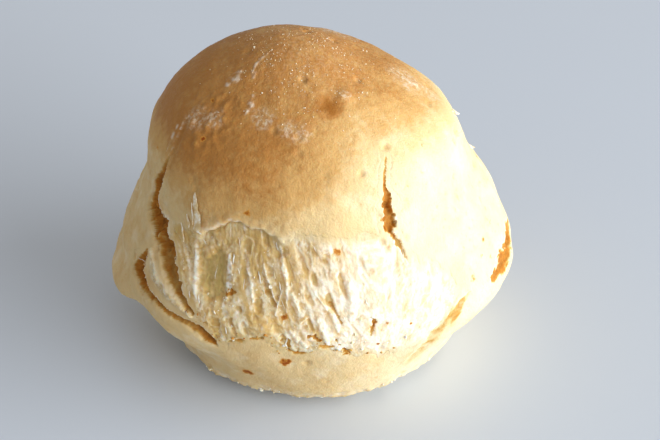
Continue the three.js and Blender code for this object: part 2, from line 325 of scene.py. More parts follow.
def mark_cracks(at):
    """Marks at places how deep and brown the cracks are, their painted shade, and pale edges, partly painted
    highlight.
    """
    at.crack_depth, at.crack, at.shade = np.zeros((3, len(at.azimuth)))
    cracked = np.full(len(at.azimuth), -np.inf)
    for opened in (*CRACKS.values(), *({**CREVICE, "stops": stops} for stops in CREVICES)):
        near, away, rightward, half_width, brownness = beside(at, opened["stops"])
        lift_to(cracked, near, opened.get("cover", -np.inf) + half_width * (1.3 - away))
        away = away + opened["ragged"] * at.ragged[near] * smooth(half_width, 0.1, 0.6) * 0.8
        away += opened.get("frayed", 0.25) * at.frayed[near] * smooth(half_width, 0.1, 0.5)
        steep = 1 - smooth(away, opened.get("brink", 0.75), 1.05)
        gentle = 1 - smooth(away, opened.get("flat", 0.1), opened["slope"])
        profile = gentle + (steep - gentle) * smooth(rightward, -0.3, 0.3)
        # A pale edge just past the steep right side of a crack: partly pale torn skin, partly a painted
        # highlight.
        edge = bump(away, 1.12, 0.14) * smooth(rightward, 0, 0.5)
        lift_to(at.crack_depth, near, opened["depth"] * half_width * profile)
        lift_to(at.crack, near, brownness * smooth(profile, 0.15, 0.45))
        # Painted shade: the deep floor of each crack is darkened in colour where shade falls in it.
        under = smooth(profile, 0.55, 1) * smooth(half_width, 0.3, 0.8) * opened.get("painted_shade", 1)
        lift_to(at.shade, near, brownness * under)
        lift_to(at.lip, near, 0.7 * edge)
    cracked += 0.5 * at.ragged
    at.cover = np.maximum(at.within, cracked)
    at.sharp *= smooth(at.within - cracked, -1, 1)
    near, away, rightward, _ = beside(at, STRIP)
    strip = 1 - smooth(away + 0.4 * at.ragged[near], 0.4, 1.2)
    at.crack_depth[near] -= (0.3 + 0.5 * at.ragged[near]) * strip
    # The strip's right edge is laid pale: partly its white torn fibres, partly a painted highlight on its
    # lit side.
    lift_to(at.lip, near, strip * smooth(rightward, 0, 0.7))
    lift_to(at.torn, near, 0.8 * strip)
    lift_to(at.fibrous, near, strip)
    at.strip = np.zeros(len(at.azimuth))
    at.strip[near] = strip


# Soft hollows in the skin, as a depth and a path: the blister with a dent beside it, dents at the back and
# the sides, and the nose of the left flap with a hollow under it.
HOLLOWS = (
    (0.2, ((27, 57.2, 1.4), (30, 57, 1.5))), (-0.4, ((40, 57.3, 1.7), (42, 57.4, 1.8))),
    (0.5, ((150, 47, 3), (165, 45, 3.5))), (0.4, ((-100, 38, 3), (-86, 40, 3))),
    (-0.4, ((98, 31, 3), (112, 29, 3))), (-0.4, ((-86, 15.4, 2), (-75, 15.4, 2.4), (-66, 16.6, 2))),
    (0.9, ((-102, 21.5, 3), (-88, 21, 3.5), (-75, 21.5, 3))),
    (0.9, ((86, 20.5, 3.5), (98, 24, 5), (110, 27, 5))),
    (2.1, ((-90, 10.5, 2.2), (-76, 11.5, 3), (-64, 12.8, 3), (-54, 12.4, 2))),
    (2.6, ((-69, 13.4, 2.2), (-62, 14.4, 3), (-54, 14.4, 3), (-47, 13, 2))),
)

# The skin browns from a height that changes round the side, and is paler low down on the right.
BROWN_AZIMUTHS = (-180, -110, -64, -55, -35, -15, 0, 18, 35, 60, 90, 180)
BROWN_STARTS = (40, 43, 44, 37, 34, 34, 37, 43, 48, 47, 45, 40)
BROWN_ENDS = (58, 54, 52, 52, 54, 55, 57, 61, 62, 60, 58, 58)
PALE_AZIMUTHS = (-180, -60, -25, 10, 35, 75, 110, 180)
PALE_SHARES = (0, -0.08, 0, 0.1, 0.3, 0.26, 0.15, 0)

# Browner patches, the first beside the blister, as azimuth, height, size and amount.
BLUSHES = (
    (27.5, 57, 2.4, 1.5), (-15, 49.9, 6, 0.25), (-39, 51.5, 6, 0.2), (-86, 52.8, 8, 0.15),
    (-40, 56.2, 3.5, 0.2), (-1.4, 62.3, 2.5, 0.35), (-22, 46, 4, 0.12), (120, 52, 6, 0.2),
    (-150, 50, 7, 0.2), (33.5, 12, 3, 0.3), (38, 17, 3, 0.3), (43, 20, 3, 0.3), (-175, 46, 5, 0.2),
    (-120, 40, 5, 0.15), (95, 16, 5, 0.2), (-95, 13, 6, 0.2), (160, 12, 5, 0.2), (-12, 9, 9, 0.15),
)

# Burnt spots as azimuth, height, size and strength.
SPOTS = (
    (-19.4, 43.4, 1.1, 1), (9.4, 37.9, 1.2, 0.8), (-7.6, 25.4, 0.9, 0.75), (-8.8, 15.1, 1.3, 1),
    (-21.9, 9.3, 1.1, 1), (-49, 56.7, 0.8, 1), (-43.3, 52, 0.4, 1), (22.8, 23.3, 0.35, 0.7),
    (29.9, 22, 0.3, 0.8), (19.8, 18.9, 0.35, 1), (-67.2, 46.7, 1, 0.6), (40.6, 45.2, 0.6, 0.4),
    (64.2, 29.6, 0.7, 0.45), (60.2, 27.8, 0.5, 0.5), (64.3, 26.2, 0.5, 0.5), (72.5, 30.3, 0.5, 0.4),
    (57, 49.1, 0.5, 0.5), (53.6, 25.5, 0.7, 0.5), (140, 42, 1.1, 1), (-140, 30, 0.9, 1), (170, 10, 1, 1),
    (100, 35, 0.8, 0.8), (-110, 20, 1, 0.8),
)

# Places where the skin was rubbed and stands up pale, as azimuth, height and half width.
SCUFFS = (
    ((-47, 58.7, 0.5), (-46.4, 59.4, 0.9), (-45.5, 60.2, 0.6)),
    ((-25.5, 56.3, 0.4), (-24, 57.3, 0.6), (-24.2, 58.3, 0.4)),
    ((-30, 60, 0.35), (-33, 60.9, 0.5), (-35, 61.6, 0.5), (-30, 62.1, 0.3)),
    ((90, 54, 0.6), (95, 52, 0.5)), ((-60, 47.6, 0.25), (-60, 49.4, 0.3), (-60, 51.8, 0.25)),
    ((-128, 56, 0.5), (-122, 55, 0.8), (-118, 54.6, 0.4)),
)

# Dust of flour lies on the middle of the top and was smeared in a few places, as azimuth, height and size.
# The small smear on the blister at azimuth 41 is a painted highlight rather than flour.
SMEARS = (
    (0, 54.9, 2), (6, 54.5, 1.6), (-15, 56.1, 2), (-52, 54, 2.4), (-42, 54.9, 2), (41, 57.4, 1.1),
    (92, 54, 4), (94, 51, 2.5), (150, 58, 5), (-120, 55, 4),
)
WRINKLES = (-46, 54.6, 6)
FLOUR_MIDDLE = (1, -4)
FLOUR_REACH = (10, 11)


def spread(at, azimuth, height, size, ragged=0.5):
    """How far places are from a spot on the skin, in sizes, with a ragged edge."""
    return np.linalg.norm(at.surface - dough_at([azimuth], [height]), axis=1) / size + ragged * at.ragged


def mark_skin(at):
    """Marks the hollows, browning, spots, flour with some painted sheen, and loose crumbs at places."""
    at.hollow, at.spot, at.dust = np.zeros((3, len(at.azimuth)))
    for deep, stops in HOLLOWS:
        near, away, *_ = beside(at, stops)
        at.hollow[near] += deep * (1 - smooth(away, 0, 1.5))
    start, end = (np.interp(at.azimuth, BROWN_AZIMUTHS, heights) for heights in (BROWN_STARTS, BROWN_ENDS))
    at.brown = smooth(at.height, start, end)
    at.brown -= np.interp(at.azimuth, PALE_AZIMUTHS, PALE_SHARES) * (1 - smooth(at.height, 46, 56))
    browned = np.zeros(len(at.azimuth))
    for azimuth, height, size, amount in BLUSHES:
        blush = amount * (1 - smooth(spread(at, azimuth, height, size), 0, 1.3))
        at.brown += blush
        browned = np.maximum(browned, blush)
    for azimuth, height, size, strength in SPOTS:
        away = spread(at, azimuth, height, size, ragged=1)
        at.spot = np.maximum(at.spot, strength * (1 - smooth(away, 0.3, 1.1)))
    for azimuth, height, size in SMEARS:
        at.dust = np.maximum(at.dust, 1 - smooth(spread(at, azimuth, height, size), 0.2, 1.4))
    for stops in SCUFFS:
        near, away, *_ = beside(at, stops)
        scuff = 1 - smooth(away + 1.1 * at.ragged[near], 0.3, 1.2)
        scuff *= smooth(humps(at.surface[near], 1.2, 43), -0.4, 0.2)
        at.hollow[near] -= 0.12 * scuff
        lift_to(at.lip, near, 0.8 * scuff)
    at.wrinkle = 1 - smooth(spread(at, *WRINKLES), 0.5, 1.3)
    off = (at.surface[:, :2] - FLOUR_MIDDLE) / FLOUR_REACH
    floury = np.exp(-(off ** 2).sum(1)) * smooth(at.height, 46, 54)
    # A faint dust over the middle of the top: partly flour, partly a painted sheen.
    at.dust = np.maximum(at.dust, 0.22 * floury) * (1 - smooth(browned, 0.3, 1))
    at.flour = floury * smooth(humps(at.surface, 3, 41), -0.3, 0.5)
    at.free = smooth(at.height, 0, 3)
    foot_edge = bump(at.height, 3, 1.6)
    at.hollow += 0.7 * at.ragged * foot_edge
    at.lip = np.maximum(at.lip, 0.8 * foot_edge * smooth(at.ragged, -0.4, 0.3))

    # Crumbs lie along the sill, in the lower left corner of the tear and round the rim of the foot.
    sill = bump(at.height, 19.4, 1.2) * smooth(at.azimuth, -40, -30) * (1 - smooth(at.azimuth, 24, 40))
    corner = bump(at.azimuth, -28, 5) * bump(at.height, 27, 2.2)
    fallen = 0.08 * smooth(at.within, 0, 1) * (1 - at.rightward)
    at.bits = np.clip(sill * smooth(humps(at.surface, 3, 37), -0.2, 0.4) + corner + fallen, 0, 1)
    at.specks = bump(at.within, 0, 0.9) * smooth(at.torn + at.firm, 0.1, 0.5)
    at.specks *= 1 - smooth(at.height, 22, 25)
    at.rim_bits = bump(at.height, 3.6, 1.1) * smooth(humps(at.surface, 5, 31), -0.2, 0.4)


ROWS = 288
COLUMNS = 340
FRONT_SHARE = 0.56
FRONT_SECTOR = 150
BED = 2.8
TRAVEL_STEPS = 3000


def row_places():
    """Fractions of the way up for the rows, which stand equally far apart at the front."""
    along = np.linspace(0, TOP, TRAVEL_STEPS)
    step = np.linalg.norm(np.diff(dough(np.zeros(TRAVEL_STEPS), along), axis=0), axis=1)
    travel = np.concatenate([[0], np.cumsum(step)])
    return np.interp(np.arange(ROWS) / ROWS * travel[-1], travel, along)


def column_places():
    """Azimuths for the columns, which stand closer at the front."""
    share = np.arange(COLUMNS) / COLUMNS - 0.5
    past = np.abs(share) - FRONT_SHARE / 2
    behind = FRONT_SECTOR / 2 + past / (1 - FRONT_SHARE) * (360 - FRONT_SECTOR)
    return np.where(past < 0, share / FRONT_SHARE * FRONT_SECTOR, np.sign(share) * behind)


def mark(at):
    for marks in (mark_tears, mark_cracks, mark_skin):
        marks(at)


# The skin goes down behind the lip of each tear, to a bed under the crumb. The lip curls out a little.
skin = on_dough(np.tile(column_places(), ROWS), np.repeat(row_places(), COLUMNS))
mark(skin)
bed = smooth(skin.cover - 0.4 + 0.4 * skin.sharp, 0, 1.4 - 0.9 * skin.sharp) * (skin.open + BED)
curl = 0.3 * bump(skin.within, -0.6, 0.6) * skin.sharp
sunk = (bed - curl + skin.crack_depth + skin.hollow) * skin.free
shaped = skin.surface - skin.outward * sunk[:, None]
cad_low, cad_high = (np.array(corner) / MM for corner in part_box("biscuit"))
SETTLE = (cad_low + cad_high - shaped.min(0) - shaped.max(0)) / 2 * (1, 1, 0)


def add_object(name, data):
    """A new object in the scene."""
    made = bpy.data.objects.new(name, data)
    bpy.context.scene.collection.objects.link(made)
    return made


def quads_between(corner, following):
    """Quads between rows of corners and the corners that follow them."""
    sides = [corner[:-1], following[:-1], following[1:], corner[1:]]
    return np.stack(sides, -1).reshape(-1, 4).tolist()


def marked_mesh(name, points, faces, at=None, floats=(), vectors=()):
    """A mesh of points in millimetres that keeps marks as attributes. Points added at its end have none."""
    mesh = bpy.data.meshes.new(name)
    mesh.from_pydata(((points + SETTLE) * MM).tolist(), [], faces)
    for title in floats:
        values = np.zeros(len(points))
        values[:len(at.azimuth)] = getattr(at, title)
        mesh.attributes.new(title, "FLOAT", "POINT").data.foreach_set("value", values)
    for title in vectors:
        values = np.zeros((len(points), 3))
        values[:len(at.azimuth)] = getattr(at, title)
        mesh.attributes.new(title, "FLOAT_VECTOR", "POINT").data.foreach_set("vector", values.ravel())
    return add_object(name, mesh)


corner = np.arange(ROWS * COLUMNS).reshape(ROWS, COLUMNS)
following = np.roll(corner, -1, 1)
quads = quads_between(corner, following)
foot, top = ROWS * COLUMNS, ROWS * COLUMNS + 1
foot_fan = [(int(b), int(a), foot) for a, b in zip(corner[0], following[0])]
top_fan = [(int(a), int(b), top) for a, b in zip(corner[-1], following[-1])]
foot_and_top = np.array([[SHIFT[0], 0, 0], dough(np.zeros(1), np.full(1, TOP))[0]])
biscuit = marked_mesh(
    "biscuit_crust", np.vstack([shaped, foot_and_top]), quads + foot_fan + top_fan, skin,
    ("crack", "shade", "lip", "spot", "brown", "dust", "wrinkle", "flour", "rim_bits", "free"),
)


class Field:
    """An output of a node, which can be reckoned with."""

    def __init__(self, nodes, socket):
        self.nodes = nodes
        self.socket = socket

    def __add__(self, other):
        return self.nodes.math("ADD", self, other)

    def __sub__(self, other):
        return self.nodes.math("SUBTRACT", self, other)

    def __rsub__(self, other):
        return self.nodes.math("SUBTRACT", other, self)

    def __mul__(self, other):
        return self.nodes.math("MULTIPLY", self, other)

    def __pow__(self, power):
        return self.nodes.math("POWER", self, power)

    def most(self, other):
        return self.nodes.math("MAXIMUM", self, other)

    def ramp(self, low, high, to_low=0.0, to_high=1.0):
        """Goes from one value where this is low to another where it is high, with soft ends."""
        inputs = {"Value": self, "From Min": low, "From Max": high, "To Min": to_low, "To Max": to_high}
        return self.nodes.add("ShaderNodeMapRange", inputs, interpolation_type="SMOOTHSTEP")

    def shifted(self, texture, reach):
        """This moved up and down by a texture, by at most half the reach."""
        return (texture - 0.5) * reach + self


class Nodes:
    """A node tree, with short ways to add nodes to it."""

    def __init__(self, tree):
        self.tree = tree

    def feed(self, made, inputs):
        """Sets or links inputs of a node."""
        for key, value in inputs.items():
            if isinstance(value, Field):
                self.tree.links.new(value.socket, made.inputs[key])
            else:
                made.inputs[key].default_value = value

    def add(self, kind, inputs=None, output=0, **settings):
        """Adds a node, and gives one of its outputs, or several."""
        made = self.tree.nodes.new(kind)
        for name, value in settings.items():
            setattr(made, name, value)
        self.feed(made, inputs or {})
        if isinstance(output, tuple):
            return [Field(self, made.outputs[key]) for key in output]
        return Field(self, made.outputs[output])

    def given(self, title):
        """One of the inputs of a group."""
        return self.add("NodeGroupInput", None, title)

    def end(self, results):
        """Ends a group with its results."""
        self.feed(self.tree.nodes.new("NodeGroupOutput"), results)

    def math(self, operation, *values):
        return self.add("ShaderNodeMath", dict(enumerate(values)), operation=operation)

    def vector(self, operation, *values, **scale):
        return self.add("ShaderNodeVectorMath", {**dict(enumerate(values)), **scale}, operation=operation)

    def noise(self, place, scale, detail=2.0, output=0):
        return self.add("ShaderNodeTexNoise", {"Vector": place, "Scale": scale, "Detail": detail}, output)

    def drift(self, place, scale, reach):
        """Soft noise in all directions, to move places by."""
        way = self.vector("SUBTRACT", self.noise(place, scale, output="Color"), (0.5, 0.5, 0.5))
        return self.vector("SCALE", way, Scale=reach)

    def attribute(self, name, kind="FLOAT"):
        return self.add("GeometryNodeInputNamedAttribute", {"Name": name}, data_type=kind)

    def mask(self, name):
        return self.add("ShaderNodeAttribute", None, "Fac", attribute_name=name)

    def speckle(self, size, detail=3.0):
        """Noise from 0 to 1 with specks of this size in metres."""
        return self.noise(self.add("ShaderNodeTexCoord", None, "Object"), 1 / size, detail)

    def lay(self, colour, *layers):
        """A colour with others laid over it, each by its share."""
        for share, over in layers:
            colour = self.add("ShaderNodeMix", {0: share, 6: colour, 7: over}, 2, data_type="RGBA")
        return colour


def geometry_tree(name, inputs):
    """A geometry node tree with named inputs."""
    tree = bpy.data.node_groups.new(name, "GeometryNodeTree")
    for title, kind in {"Geometry": "Geometry", **inputs}.items():
        tree.interface.new_socket(title, in_out="INPUT", socket_type="NodeSocket" + kind)
    tree.interface.new_socket("Geometry", in_out="OUTPUT", socket_type="NodeSocketGeometry")
    return Nodes(tree)


def end_tree(nodes, geometry, rounded=True):
    """Ends a tree: faces smooth or flat, instances made real, then the material."""
    faces = nodes.add("GeometryNodeSetShadeSmooth", {0: geometry, "Shade Smooth": rounded})
    real = nodes.add("GeometryNodeRealizeInstances", {0: faces})
    nodes.end({0: nodes.add("GeometryNodeSetMaterial", {0: real, "Material": nodes.given("Material")})})


def grow(piece, nodes, values):
    """Runs a tree on a piece with these inputs, and keeps the result as its plain mesh."""
    modifier = piece.modifiers.new(nodes.tree.name, "NODES")
    modifier.node_group = nodes.tree
    for socket in nodes.tree.interface.items_tree:
        if socket.in_out == "INPUT" and socket.name in values:
            modifier[socket.identifier] = values[socket.name]
    evaluated = piece.evaluated_get(bpy.context.evaluated_depsgraph_get())
    mesh = bpy.data.meshes.new_from_object(evaluated)
    piece.modifiers.remove(modifier)
    piece.data = mesh


def store(nodes, geometry, name, value):
    inputs = {0: geometry, "Name": name, "Value": value}
    return nodes.add("GeometryNodeStoreNamedAttribute", inputs, data_type="FLOAT")


def push_out(nodes, geometry, distance):
    """Moves points out along the normal."""
    offset = nodes.vector("SCALE", nodes.add("GeometryNodeInputNormal"), Scale=distance)
    return nodes.add("GeometryNodeSetPosition", {0: geometry, "Offset": offset})


# The relief of the skin, with the size of each kind of hump in metres and the mark that limits it.
RELIEF = {
    "Swell": (0.013, None), "Dimples": (0.0034, None), "Grain": (0.0011, None),
    "Wrinkles": (0.0016, "wrinkle"), "Crack lumps": (0.0014, "crack"), "Crack grit": (0.0006, "crack"),
}
POCK_SPACING = 0.0046
relief_heights = dict.fromkeys([*RELIEF, "Pocks"], "Float")
relief = geometry_tree("baked relief", {**relief_heights, "Material": "Material"})
position = relief.add("GeometryNodeInputPosition")
pock_cells = {"Vector": position, "Scale": 1 / POCK_SPACING}
from_middle, dice = relief.add("ShaderNodeTexVoronoi", pock_cells, ("Distance", "Color"), feature="F1")
chance = relief.add("ShaderNodeSeparateXYZ", {0: dice})
pock = from_middle.ramp(0.22, 0.06) * chance.ramp(0.4, 0.8)
total = pock * relief.given("Pocks")
for title, (size, limit) in RELIEF.items():
    part = (relief.noise(position, 1 / size, 1.0) - 0.5) * relief.given(title)
    if limit:
        part = part * relief.attribute(limit)
    total = total + part
pocked = store(relief, relief.given("Geometry"), "pock", pock)
end_tree(relief, push_out(relief, pocked, total * relief.attribute("free")))


def material(name, **constants):
    """A new material and its nodes, with the values of its Principled shader that hold all over."""
    made = bpy.data.materials.new(name)
    made.use_nodes = True
    nodes = Nodes(made.node_tree)
    nodes.shader = made.node_tree.nodes["Principled BSDF"]
    nodes.feed(nodes.shader, {title.replace("_", " "): value for title, value in constants.items()})
    return made, nodes


def shader_group(name, inputs, outputs):
    """A shader node group with named inputs and outputs."""
    tree = bpy.data.node_groups.new(name, "ShaderNodeTree")
    for title, value in inputs.items():
        tree.interface.new_socket(title, in_out="INPUT", socket_type="NodeSocketFloat").default_value = value
    for title, kind in outputs.items():
        tree.interface.new_socket(title, in_out="OUTPUT", socket_type="NodeSocket" + kind)
    return Nodes(tree)


FLANK_WHITE = (0.84, 0.73, 0.51, 1)
PALE_SKIN = (0.71, 0.525, 0.265, 1)
GOLDEN_SKIN = (0.60, 0.355, 0.125, 1)
BROWN_SKIN = (0.44, 0.195, 0.045, 1)
DARK_SKIN = (0.30, 0.11, 0.014, 1)
FLOUR_WHITE = (0.84, 0.77, 0.62, 1)
TORN_WHITE = (0.90, 0.85, 0.73, 1)
CRACK_BROWN = (0.50, 0.20, 0.022, 1)
CRACK_TAN = (0.58, 0.36, 0.10, 1)
# Painted shade for the deep floor of the cracks:
CRACK_PAINTED_SHADE = (0.32, 0.125, 0.018, 1)
SPOT_ORANGE = (0.60, 0.27, 0.04, 1)
SPOT_BROWN = (0.27, 0.055, 0.0, 1)

# Baked skin, which the crumb's material uses too where its edge runs out into the skin.
baked_skin = shader_group(
    "baked skin", {"Blotches": 1.0, "Mottle": 0.75}, {"Color": "Color", "Browning": "Float"},
)
brown = baked_skin.mask("brown")
blotched = brown.ramp(-0.3, 0.4, 0.3, 1.0) * baked_skin.given("Blotches")
mottled = brown.ramp(-0.2, 0.5, 0.15, 1.0) * baked_skin.given("Mottle")
browning = brown.shifted(baked_skin.speckle(0.007, 4.0), blotched)
browning = browning.shifted(baked_skin.speckle(0.0011), mottled)
tans = baked_skin.speckle(0.0035, 5.0).ramp(0.52, 0.75, 0.0, 0.3) * brown.ramp(-0.3, 0.05)
pales = baked_skin.speckle(0.0042, 5.0).ramp(0.5, 0.3, 0.0, 0.45) * brown.ramp(0.3, 0.0)
# Flour dust, which on the blister and across the top is also a painted highlight and sheen.
dusted = baked_skin.mask("dust") * baked_skin.speckle(0.0007, 4.0).ramp(0.42, 0.68, 0.06, 0.5)
skin_colour = baked_skin.lay(
    FLANK_WHITE,
    (browning.ramp(-0.5, -0.02), PALE_SKIN),
    (browning.ramp(-0.05, 0.5), GOLDEN_SKIN),
    (browning.ramp(0.45, 1.1), BROWN_SKIN),
    (browning.ramp(1.2, 2.3), DARK_SKIN),
    (baked_skin.mask("pock") * 0.35, GOLDEN_SKIN),
    (tans, GOLDEN_SKIN),
    (pales, FLANK_WHITE),
    (dusted, FLOUR_WHITE),
)
baked_skin.end({"Color": skin_colour, "Browning": browning})

# Brown cracks with painted shade in their deep floor, and burnt spots, as colours to lay over a base
# and how much of each.
burnt_and_shade = shader_group(
    "burnt marks", {"Unevenness": 1.0},
    {"Crack color": "Color", "Crack": "Float", "Spot color": "Color", "Spot": "Float"},
)
grainy = burnt_and_shade.speckle(0.0016, 4.0)
finer = burnt_and_shade.speckle(0.0007, 2.0)
crack = burnt_and_shade.mask("crack")
browned = crack.shifted(grainy, 1.6).shifted(finer, 1.0).ramp(0.3, 1.1)
# Painted shade in the deep floor of the cracks, broken up by fine noise.
painted_shade = burnt_and_shade.mask("shade") * finer.ramp(0.35, 0.65, 0.85, 0.25)
spot = burnt_and_shade.mask("spot").shifted(finer, 1.3)
burnt_and_shade.end({
    "Crack color": burnt_and_shade.lay(CRACK_TAN, (browned, CRACK_BROWN), (painted_shade, CRACK_PAINTED_SHADE)),
    "Crack": crack.shifted(grainy, burnt_and_shade.given("Unevenness")).ramp(0.05, 0.55),
    "Spot color": burnt_and_shade.lay(SPOT_ORANGE, (spot.ramp(0.5, 1.15), SPOT_BROWN)),
    "Spot": spot.ramp(0.15, 0.75),
})

# Grit too fine for the mesh, as a height for bumps.
BUMP_DISTANCE = 0.0003
grit = shader_group("fine grit", {"Coarse": 1 / 0.0009, "Fine": 1 / 0.00035}, {"Height": "Float"})
place = grit.add("ShaderNodeTexCoord", None, "Object")
coarse, fine = (grit.noise(place, grit.given(title)) for title in ("Coarse", "Fine"))
grit.end({"Height": fine * 0.4 + coarse * 0.6})


def pale_edges(nodes, colour):
    """A colour with the pale torn edges of the skin laid over it, which are partly a painted highlight."""
    share = nodes.mask("lip") * nodes.speckle(0.0012).ramp(0.35, 0.6, 0.1, 0.75)
    return nodes.lay(colour, (share, TORN_WHITE))


def lay_burnt_and_shade(nodes, colour):
    """A colour with the cracks, the painted shade in them and the spots laid over it."""
    titles = ("Crack", "Crack color", "Spot", "Spot color")
    crack, crack_colour, spot, spot_colour = nodes.add("ShaderNodeGroup", None, titles, node_tree=burnt_and_shade.tree)
    return nodes.lay(colour, (crack, crack_colour), (spot, spot_colour))


def gritty(nodes, strength):
    """Bumps of fine grit, as a normal."""
    height = nodes.add("ShaderNodeGroup", node_tree=grit.tree)
    return nodes.add("ShaderNodeBump", {"Height": height, "Strength": strength, "Distance": BUMP_DISTANCE})


crust, nodes = material(
    "baked_crust", Subsurface_Weight=0.25, Subsurface_Radius=(1.0, 0.55, 0.28), Subsurface_Scale=0.0018,
    Specular_IOR_Level=0.22,
)
colour, browning = nodes.add("ShaderNodeGroup", None, ("Color", "Browning"), node_tree=baked_skin.tree)
nodes.feed(nodes.shader, {
    "Base Color": lay_burnt_and_shade(nodes, pale_edges(nodes, colour)),
    "Roughness": browning.ramp(0.0, 1.0, 0.75, 0.55),
    "Normal": gritty(nodes, 0.8),
})

SKIN_RELIEF = {
    "Swell": 1.4 * MM, "Dimples": 0.3 * MM, "Grain": 0.11 * MM, "Wrinkles": 1.1 * MM, "Pocks": -0.4 * MM,
    "Crack lumps": 0.6 * MM, "Crack grit": 0.35 * MM,
}
grow(biscuit, relief, {**SKIN_RELIEF, "Material": crust})
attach(biscuit, "root")
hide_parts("biscuit")

# The torn crumb
# Where the side burst, the moist inside was pulled into strands and sheets round long open cells. Each slab
# of crumb sits on the bed behind the lip and runs on under the skin all round.
# Larger open cells as azimuth, height, half width, half height, depth and tint.
# The tint lays tan in a cell: partly the crumb's own colour, partly painted shade in the hollow.
PITS = (
    (-31.3, 31.3, 3.7, 4.5, 0.9, 1.25), (1.8, 32.9, 0.65, 1.3, 0.5, 0.9), (5.9, 29.6, 0.9, 1.6, 0.5, 0.9),
    (10.1, 32.1, 0.6, 2.6, 0.4, 0.7), (-21.5, 26.2, 1, 1, 0.45, 0.8), (-15.4, 27.2, 0.8, 1.3, 0.4, 0.7),
    (9, 41, 0.8, 1, 0.4, 0.6), (5.3, 36.2, 1, 0.8, 0.35, 0.6), (-13.6, 39.3, 0.6, 1.3, 0.4, 0.7),
    (-10, 37, 0.8, 1.1, 0.4, 0.7), (-5.6, 34.4, 0.5, 2.2, 0.25, 0.6), (-0.8, 34.6, 0.6, 2.6, 0.2, 0.5),
    (-0.2, 30.1, 0.6, 2, 0.2, 0.5), (-9.3, 23.2, 1.3, 0.9, 0.3, 0.5), (0.1, 24.2, 0.4, 1.5, 0.4, 0.7),
    (-24.9, 23.4, 1, 0.8, 0.4, 0.7), (-28.8, 22.7, 0.9, 0.9, 0.35, 0.6), (-18.1, 21.9, 1.4, 0.9, 0.35, 0.6),
    (24, 29, 0.5, 1.5, 0.3, 0.4), (17, 35, 0.6, 1.6, 0.3, 0.4), (-20.5, 37.5, 1.1, 1.4, 0.5, 0.7),
)
SINEWS = (
    ((-38.4, 34.2, 0.4), (-37, 31, 0.75), (-36, 27.8, 0.75), (-35, 26.2, 0.3)),
    ((-25.8, 35.6, 0.4), (-25.6, 33.1, 0.75), (-25.3, 29.1, 0.7), (-25.4, 27.5, 0.3)),
    ((-8.4, 38.6, 0.3), (-7.8, 35.6, 0.5), (-6.6, 32.3, 0.5), (-6.8, 26.8, 0.3)),
    ((-14.1, 35.2, 0.35), (-12.7, 32.8, 0.55), (-11.4, 31.1, 0.4), (-10, 27.6, 0.25)),
    ((-8.1, 31, 0.25), (-9.4, 28.4, 0.4), (-10.4, 26, 0.3)),
    ((-19.5, 33.9, 0.4), (-17.9, 31.5, 0.9), (-16.9, 28, 0.4)),
    ((-5.2, 30.4, 0.7), (-3.8, 28.8, 0.9), (-3, 27, 0.3)),
    ((0.8, 32.1, 0.25), (3.2, 29.4, 0.35), (6.2, 26.8, 0.5), (8, 23, 0.3)),
    ((12.5, 32, 0.6), (13.2, 28.9, 1.2), (12.2, 25.4, 0.7)),
    ((2.6, 25.5, 0.6), (4.3, 21.5, 0.8), (5, 20, 0.3)),
    ((-1.1, 25.9, 0.5), (-3, 24.8, 0.5)),
    ((-6.1, 23.2, 0.6), (-4.8, 21.5, 0.8), (-4.4, 20.6, 0.3)),
    ((-2.8, 20.6, 0.6), (-2, 19.8, 0.6)),
    ((7.6, 18.8, 0.6), (8.6, 18, 0.5)),
)
CRUMB_UNDER = 4
CRUMB_TUCK = 1.6
CRUMB_PROUD = 0.03


def mark_crumb(at):
    """Marks the larger open cells and the thick sinews of crumb at places."""
    at.pit, at.hole, at.rim, at.sinew = np.zeros((4, len(at.azimuth)))
    for azimuth, height, half_width, half_height, deep, tint in PITS:
        rise = at.height - height
        x = round_to(azimuth, at.azimuth) + np.interp(azimuth, LEAN_AZIMUTHS, LEANS) * rise
        away = (np.abs(x / half_width) ** 3 + np.abs(rise / half_height) ** 3) ** (1 / 3) + 0.6 * at.ragged
        opened = 1 - smooth(away, 0.55, 1.15)
        at.hole = np.maximum(at.hole, 0.75 * deep * opened)
        at.pit = np.maximum(at.pit, tint * opened)
        at.rim = np.maximum(at.rim, 0.3 * bump(away, 1.25, 0.2))
        at.fibrous *= 0.7 + 0.3 * smooth(away, 0.5, 1.1)
        at.bits *= smooth(away, 0.6, 1.1)
    for stops in SINEWS:
        near, away, _, half_width = beside(at, stops)
        thick = 1 - smooth(away + 0.5 * at.ragged[near], 0.2, 1.1)
        lift_to(at.sinew, near, np.minimum(half_width, 0.5) * thick)
        lift_to(at.rim, near, thick)
    at.rim = np.maximum(at.rim, 0.7 * at.strip)
    for marked in (at.pit, at.hole, at.rim, at.sinew):
        marked *= at.torn


